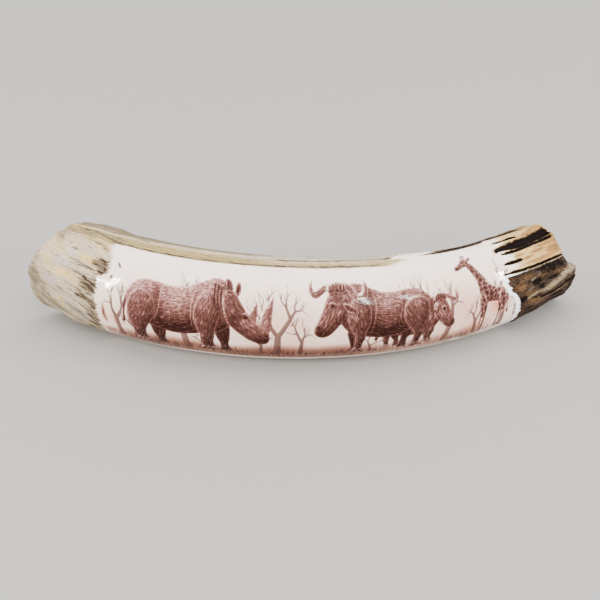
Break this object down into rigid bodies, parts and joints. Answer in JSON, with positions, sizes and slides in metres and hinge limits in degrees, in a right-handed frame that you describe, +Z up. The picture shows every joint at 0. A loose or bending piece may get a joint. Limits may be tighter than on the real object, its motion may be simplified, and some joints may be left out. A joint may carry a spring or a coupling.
{
  "type": "scrimshaw hippopotamus tusk",
  "caption": "Curved hippopotamus tusk lying on its side, its outer curve ground smooth and engraved with savanna animals, both ends left rough.",
  "frame": {"origin": "centre of the bounding box seen from above, on the surface that the tusk lies on", "axes": "+X along the chord of the curve from the root end to the worn tip, -Y towards the engraved outer side of the curve, +Z up"},
  "size_m": [0.3664, 0.1217, 0.0673],
  "materials": {
    "ivory": "satin"
  },
  "bodies": {
    "root": {"tusk": "ivory"}
  },
  "joints": []
}
